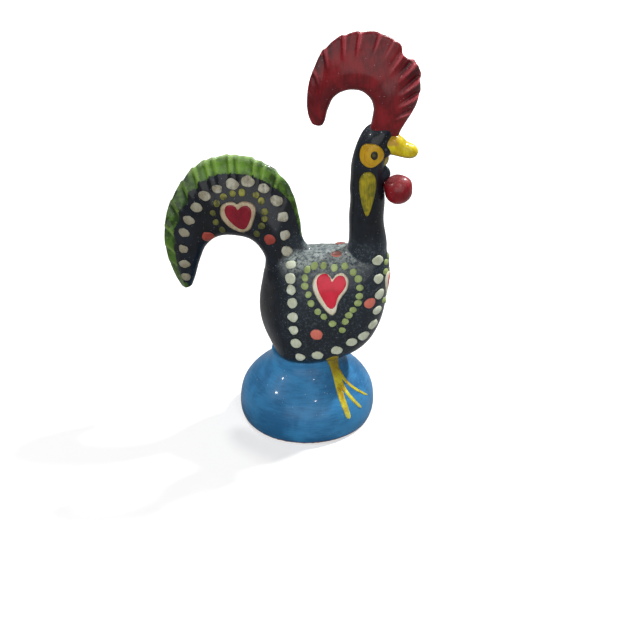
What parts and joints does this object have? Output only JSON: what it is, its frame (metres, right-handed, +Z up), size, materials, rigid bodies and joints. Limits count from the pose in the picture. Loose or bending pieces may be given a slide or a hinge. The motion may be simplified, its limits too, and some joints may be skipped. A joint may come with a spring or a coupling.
{
  "type": "painted clay rooster ornament",
  "caption": "Painted clay rooster ornament on a hollow round pedestal, with an arched frilled tail, a tall curled comb, and hearts and dots painted on its sides.",
  "frame": {"origin": "centre of the ring that the pedestal stands on", "axes": "+Z up, +X towards the beak, +Y towards the bird's left side"},
  "size_m": [0.0747, 0.0416, 0.1201],
  "materials": {
    "blue_enamel": "glossy blue enamel, varnished",
    "black_enamel": "glossy blue-black enamel, varnished",
    "comb_red_enamel": "glossy deep red enamel, varnished",
    "frill_green_enamel": "glossy leaf green enamel, varnished",
    "beak_yellow_enamel": "glossy yellow enamel, varnished",
    "white_dot_enamel": "thick off-white enamel dots, varnished",
    "green_dot_enamel": "thick pale green enamel dots, varnished",
    "coral_dot_enamel": "thick coral enamel dots, varnished",
    "cream_outline_enamel": "thick cream enamel line, varnished",
    "heart_red_enamel": "glossy bright red enamel, varnished",
    "tail_heart_red_enamel": "glossy dark red enamel, varnished",
    "ochre_enamel": "glossy ochre enamel, varnished",
    "eye_ring_enamel": "glossy orange-brown enamel, varnished",
    "pupil_enamel": "glossy dark olive enamel, varnished",
    "leg_yellow_enamel": "glossy brushed yellow enamel, varnished"
  },
  "bodies": {
    "root": {"pedestal": "blue_enamel", "body": "black_enamel", "neck_and_head": "black_enamel", "tail_plate": "black_enamel", "tail_frill": "frill_green_enamel", "comb": "comb_red_enamel", "upper_beak": "beak_yellow_enamel", "lower_beak": "beak_yellow_enamel", "wattle": "comb_red_enamel", "chest_heart_outline": "cream_outline_enamel", "chest_heart": "heart_red_enamel", "chest_green_dots": "green_dot_enamel", "right_body_white_dots": "white_dot_enamel", "right_body_green_dots": "green_dot_enamel", "right_body_coral_dots": "coral_dot_enamel", "right_body_heart_outline": "cream_outline_enamel", "right_body_heart": "heart_red_enamel", "right_tail_white_dots": "white_dot_enamel", "right_tail_green_dots": "green_dot_enamel", "right_tail_coral_dots": "coral_dot_enamel", "right_tail_heart_outline": "cream_outline_enamel", "right_tail_heart": "tail_heart_red_enamel", "right_eye_disc": "ochre_enamel", "right_eye_ring": "eye_ring_enamel", "right_pupil": "pupil_enamel", "right_ear_lobe": "ochre_enamel", "right_leg": "leg_yellow_enamel", "left_body_white_dots": "white_dot_enamel", "left_body_green_dots": "green_dot_enamel", "left_body_coral_dots": "coral_dot_enamel", "left_body_heart_outline": "cream_outline_enamel", "left_body_heart": "heart_red_enamel", "left_tail_white_dots": "white_dot_enamel", "left_tail_green_dots": "green_dot_enamel", "left_tail_coral_dots": "coral_dot_enamel", "left_tail_heart_outline": "cream_outline_enamel", "left_tail_heart": "tail_heart_red_enamel", "left_eye_disc": "ochre_enamel", "left_eye_ring": "eye_ring_enamel", "left_pupil": "pupil_enamel", "left_ear_lobe": "ochre_enamel", "left_leg": "leg_yellow_enamel"}
  },
  "joints": []
}
